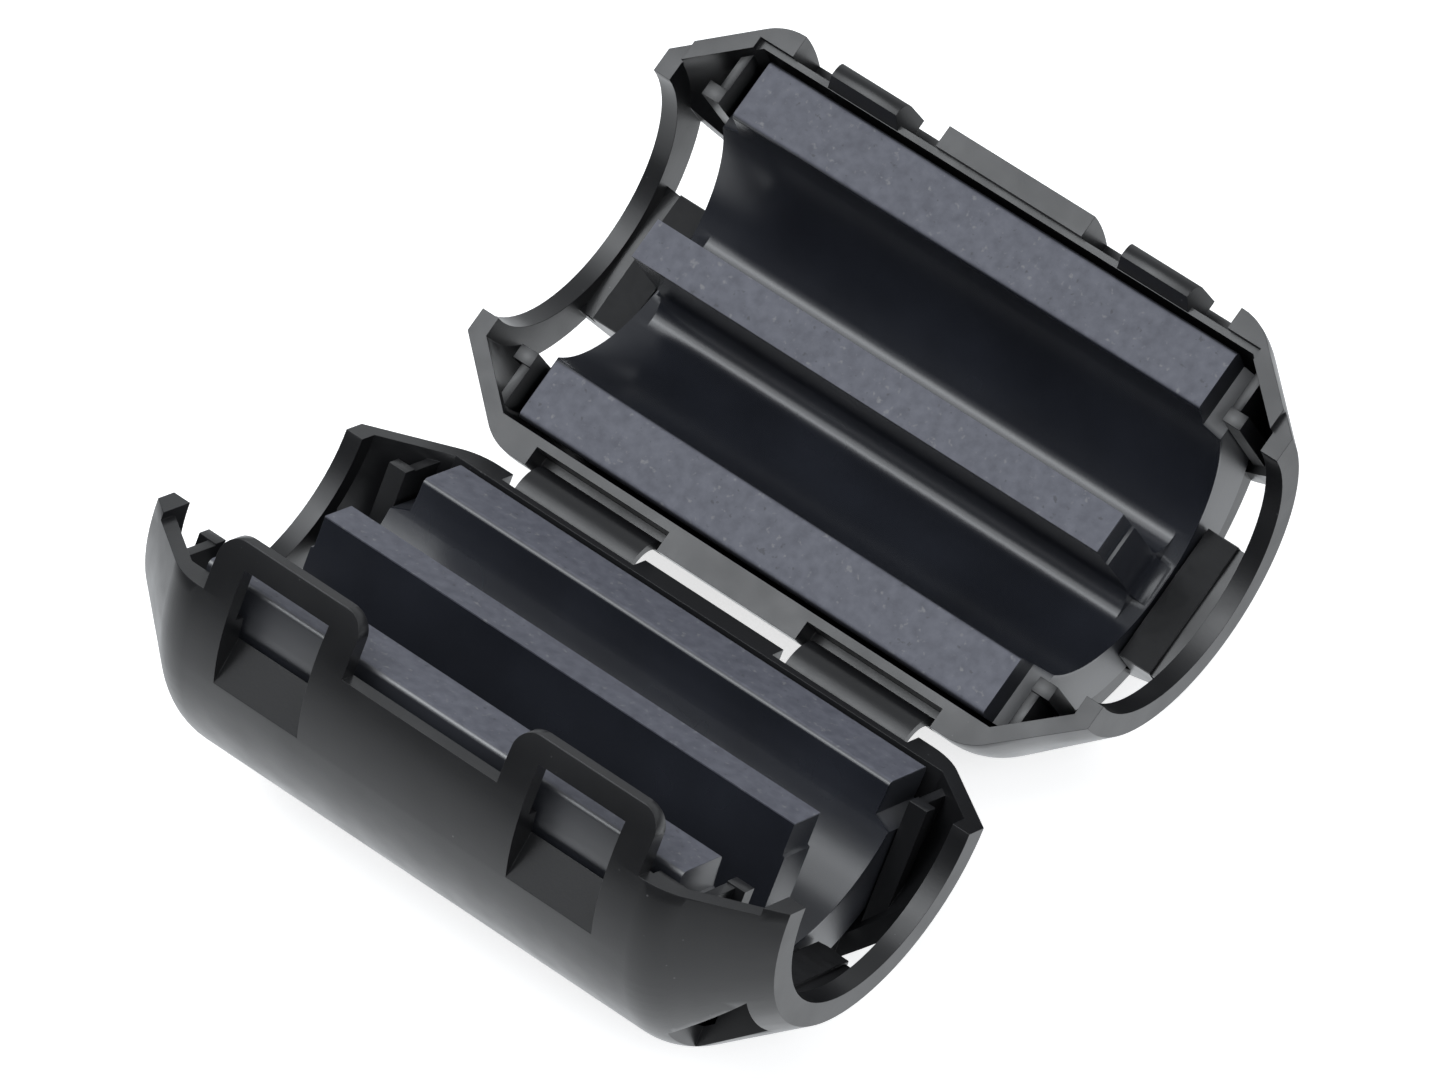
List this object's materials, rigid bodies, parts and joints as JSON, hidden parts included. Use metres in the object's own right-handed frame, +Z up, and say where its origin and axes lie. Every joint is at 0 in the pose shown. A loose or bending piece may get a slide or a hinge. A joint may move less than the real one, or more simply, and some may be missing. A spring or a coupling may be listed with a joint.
{
  "type": "clip-on ferrite bead",
  "caption": "Open clip-on ferrite bead: a black moulded case in two hinged halves with latch tabs and hooks, each half holding a half core with two cable channels.",
  "frame": {"origin": "on the ground under the middle of the hinge, where the two halves lean on both sides", "axes": "+X along the case and its cable channels, +Y from the window half across the hinge to the hook half, +Z up"},
  "size_m": [0.0382, 0.0478, 0.0205],
  "materials": {
    "case_plastic": "satin moulded black plastic with a fine spark-eroded texture",
    "ferrite": "sintered dark grey ferrite, ground and speckled on the mating faces"
  },
  "bodies": {
    "window_half": {"window_case": "case_plastic", "window_core": "ferrite"},
    "hook_half": {"hook_case": "case_plastic", "hook_core": "ferrite"}
  },
  "joints": [
    {"name": "case_hinge", "type": "hinge", "parent": "window_half", "child": "hook_half", "pos_m": [0, 0, 0.00649], "axis": [1, 0, 0], "range_deg": [-55, 125]}
  ]
}
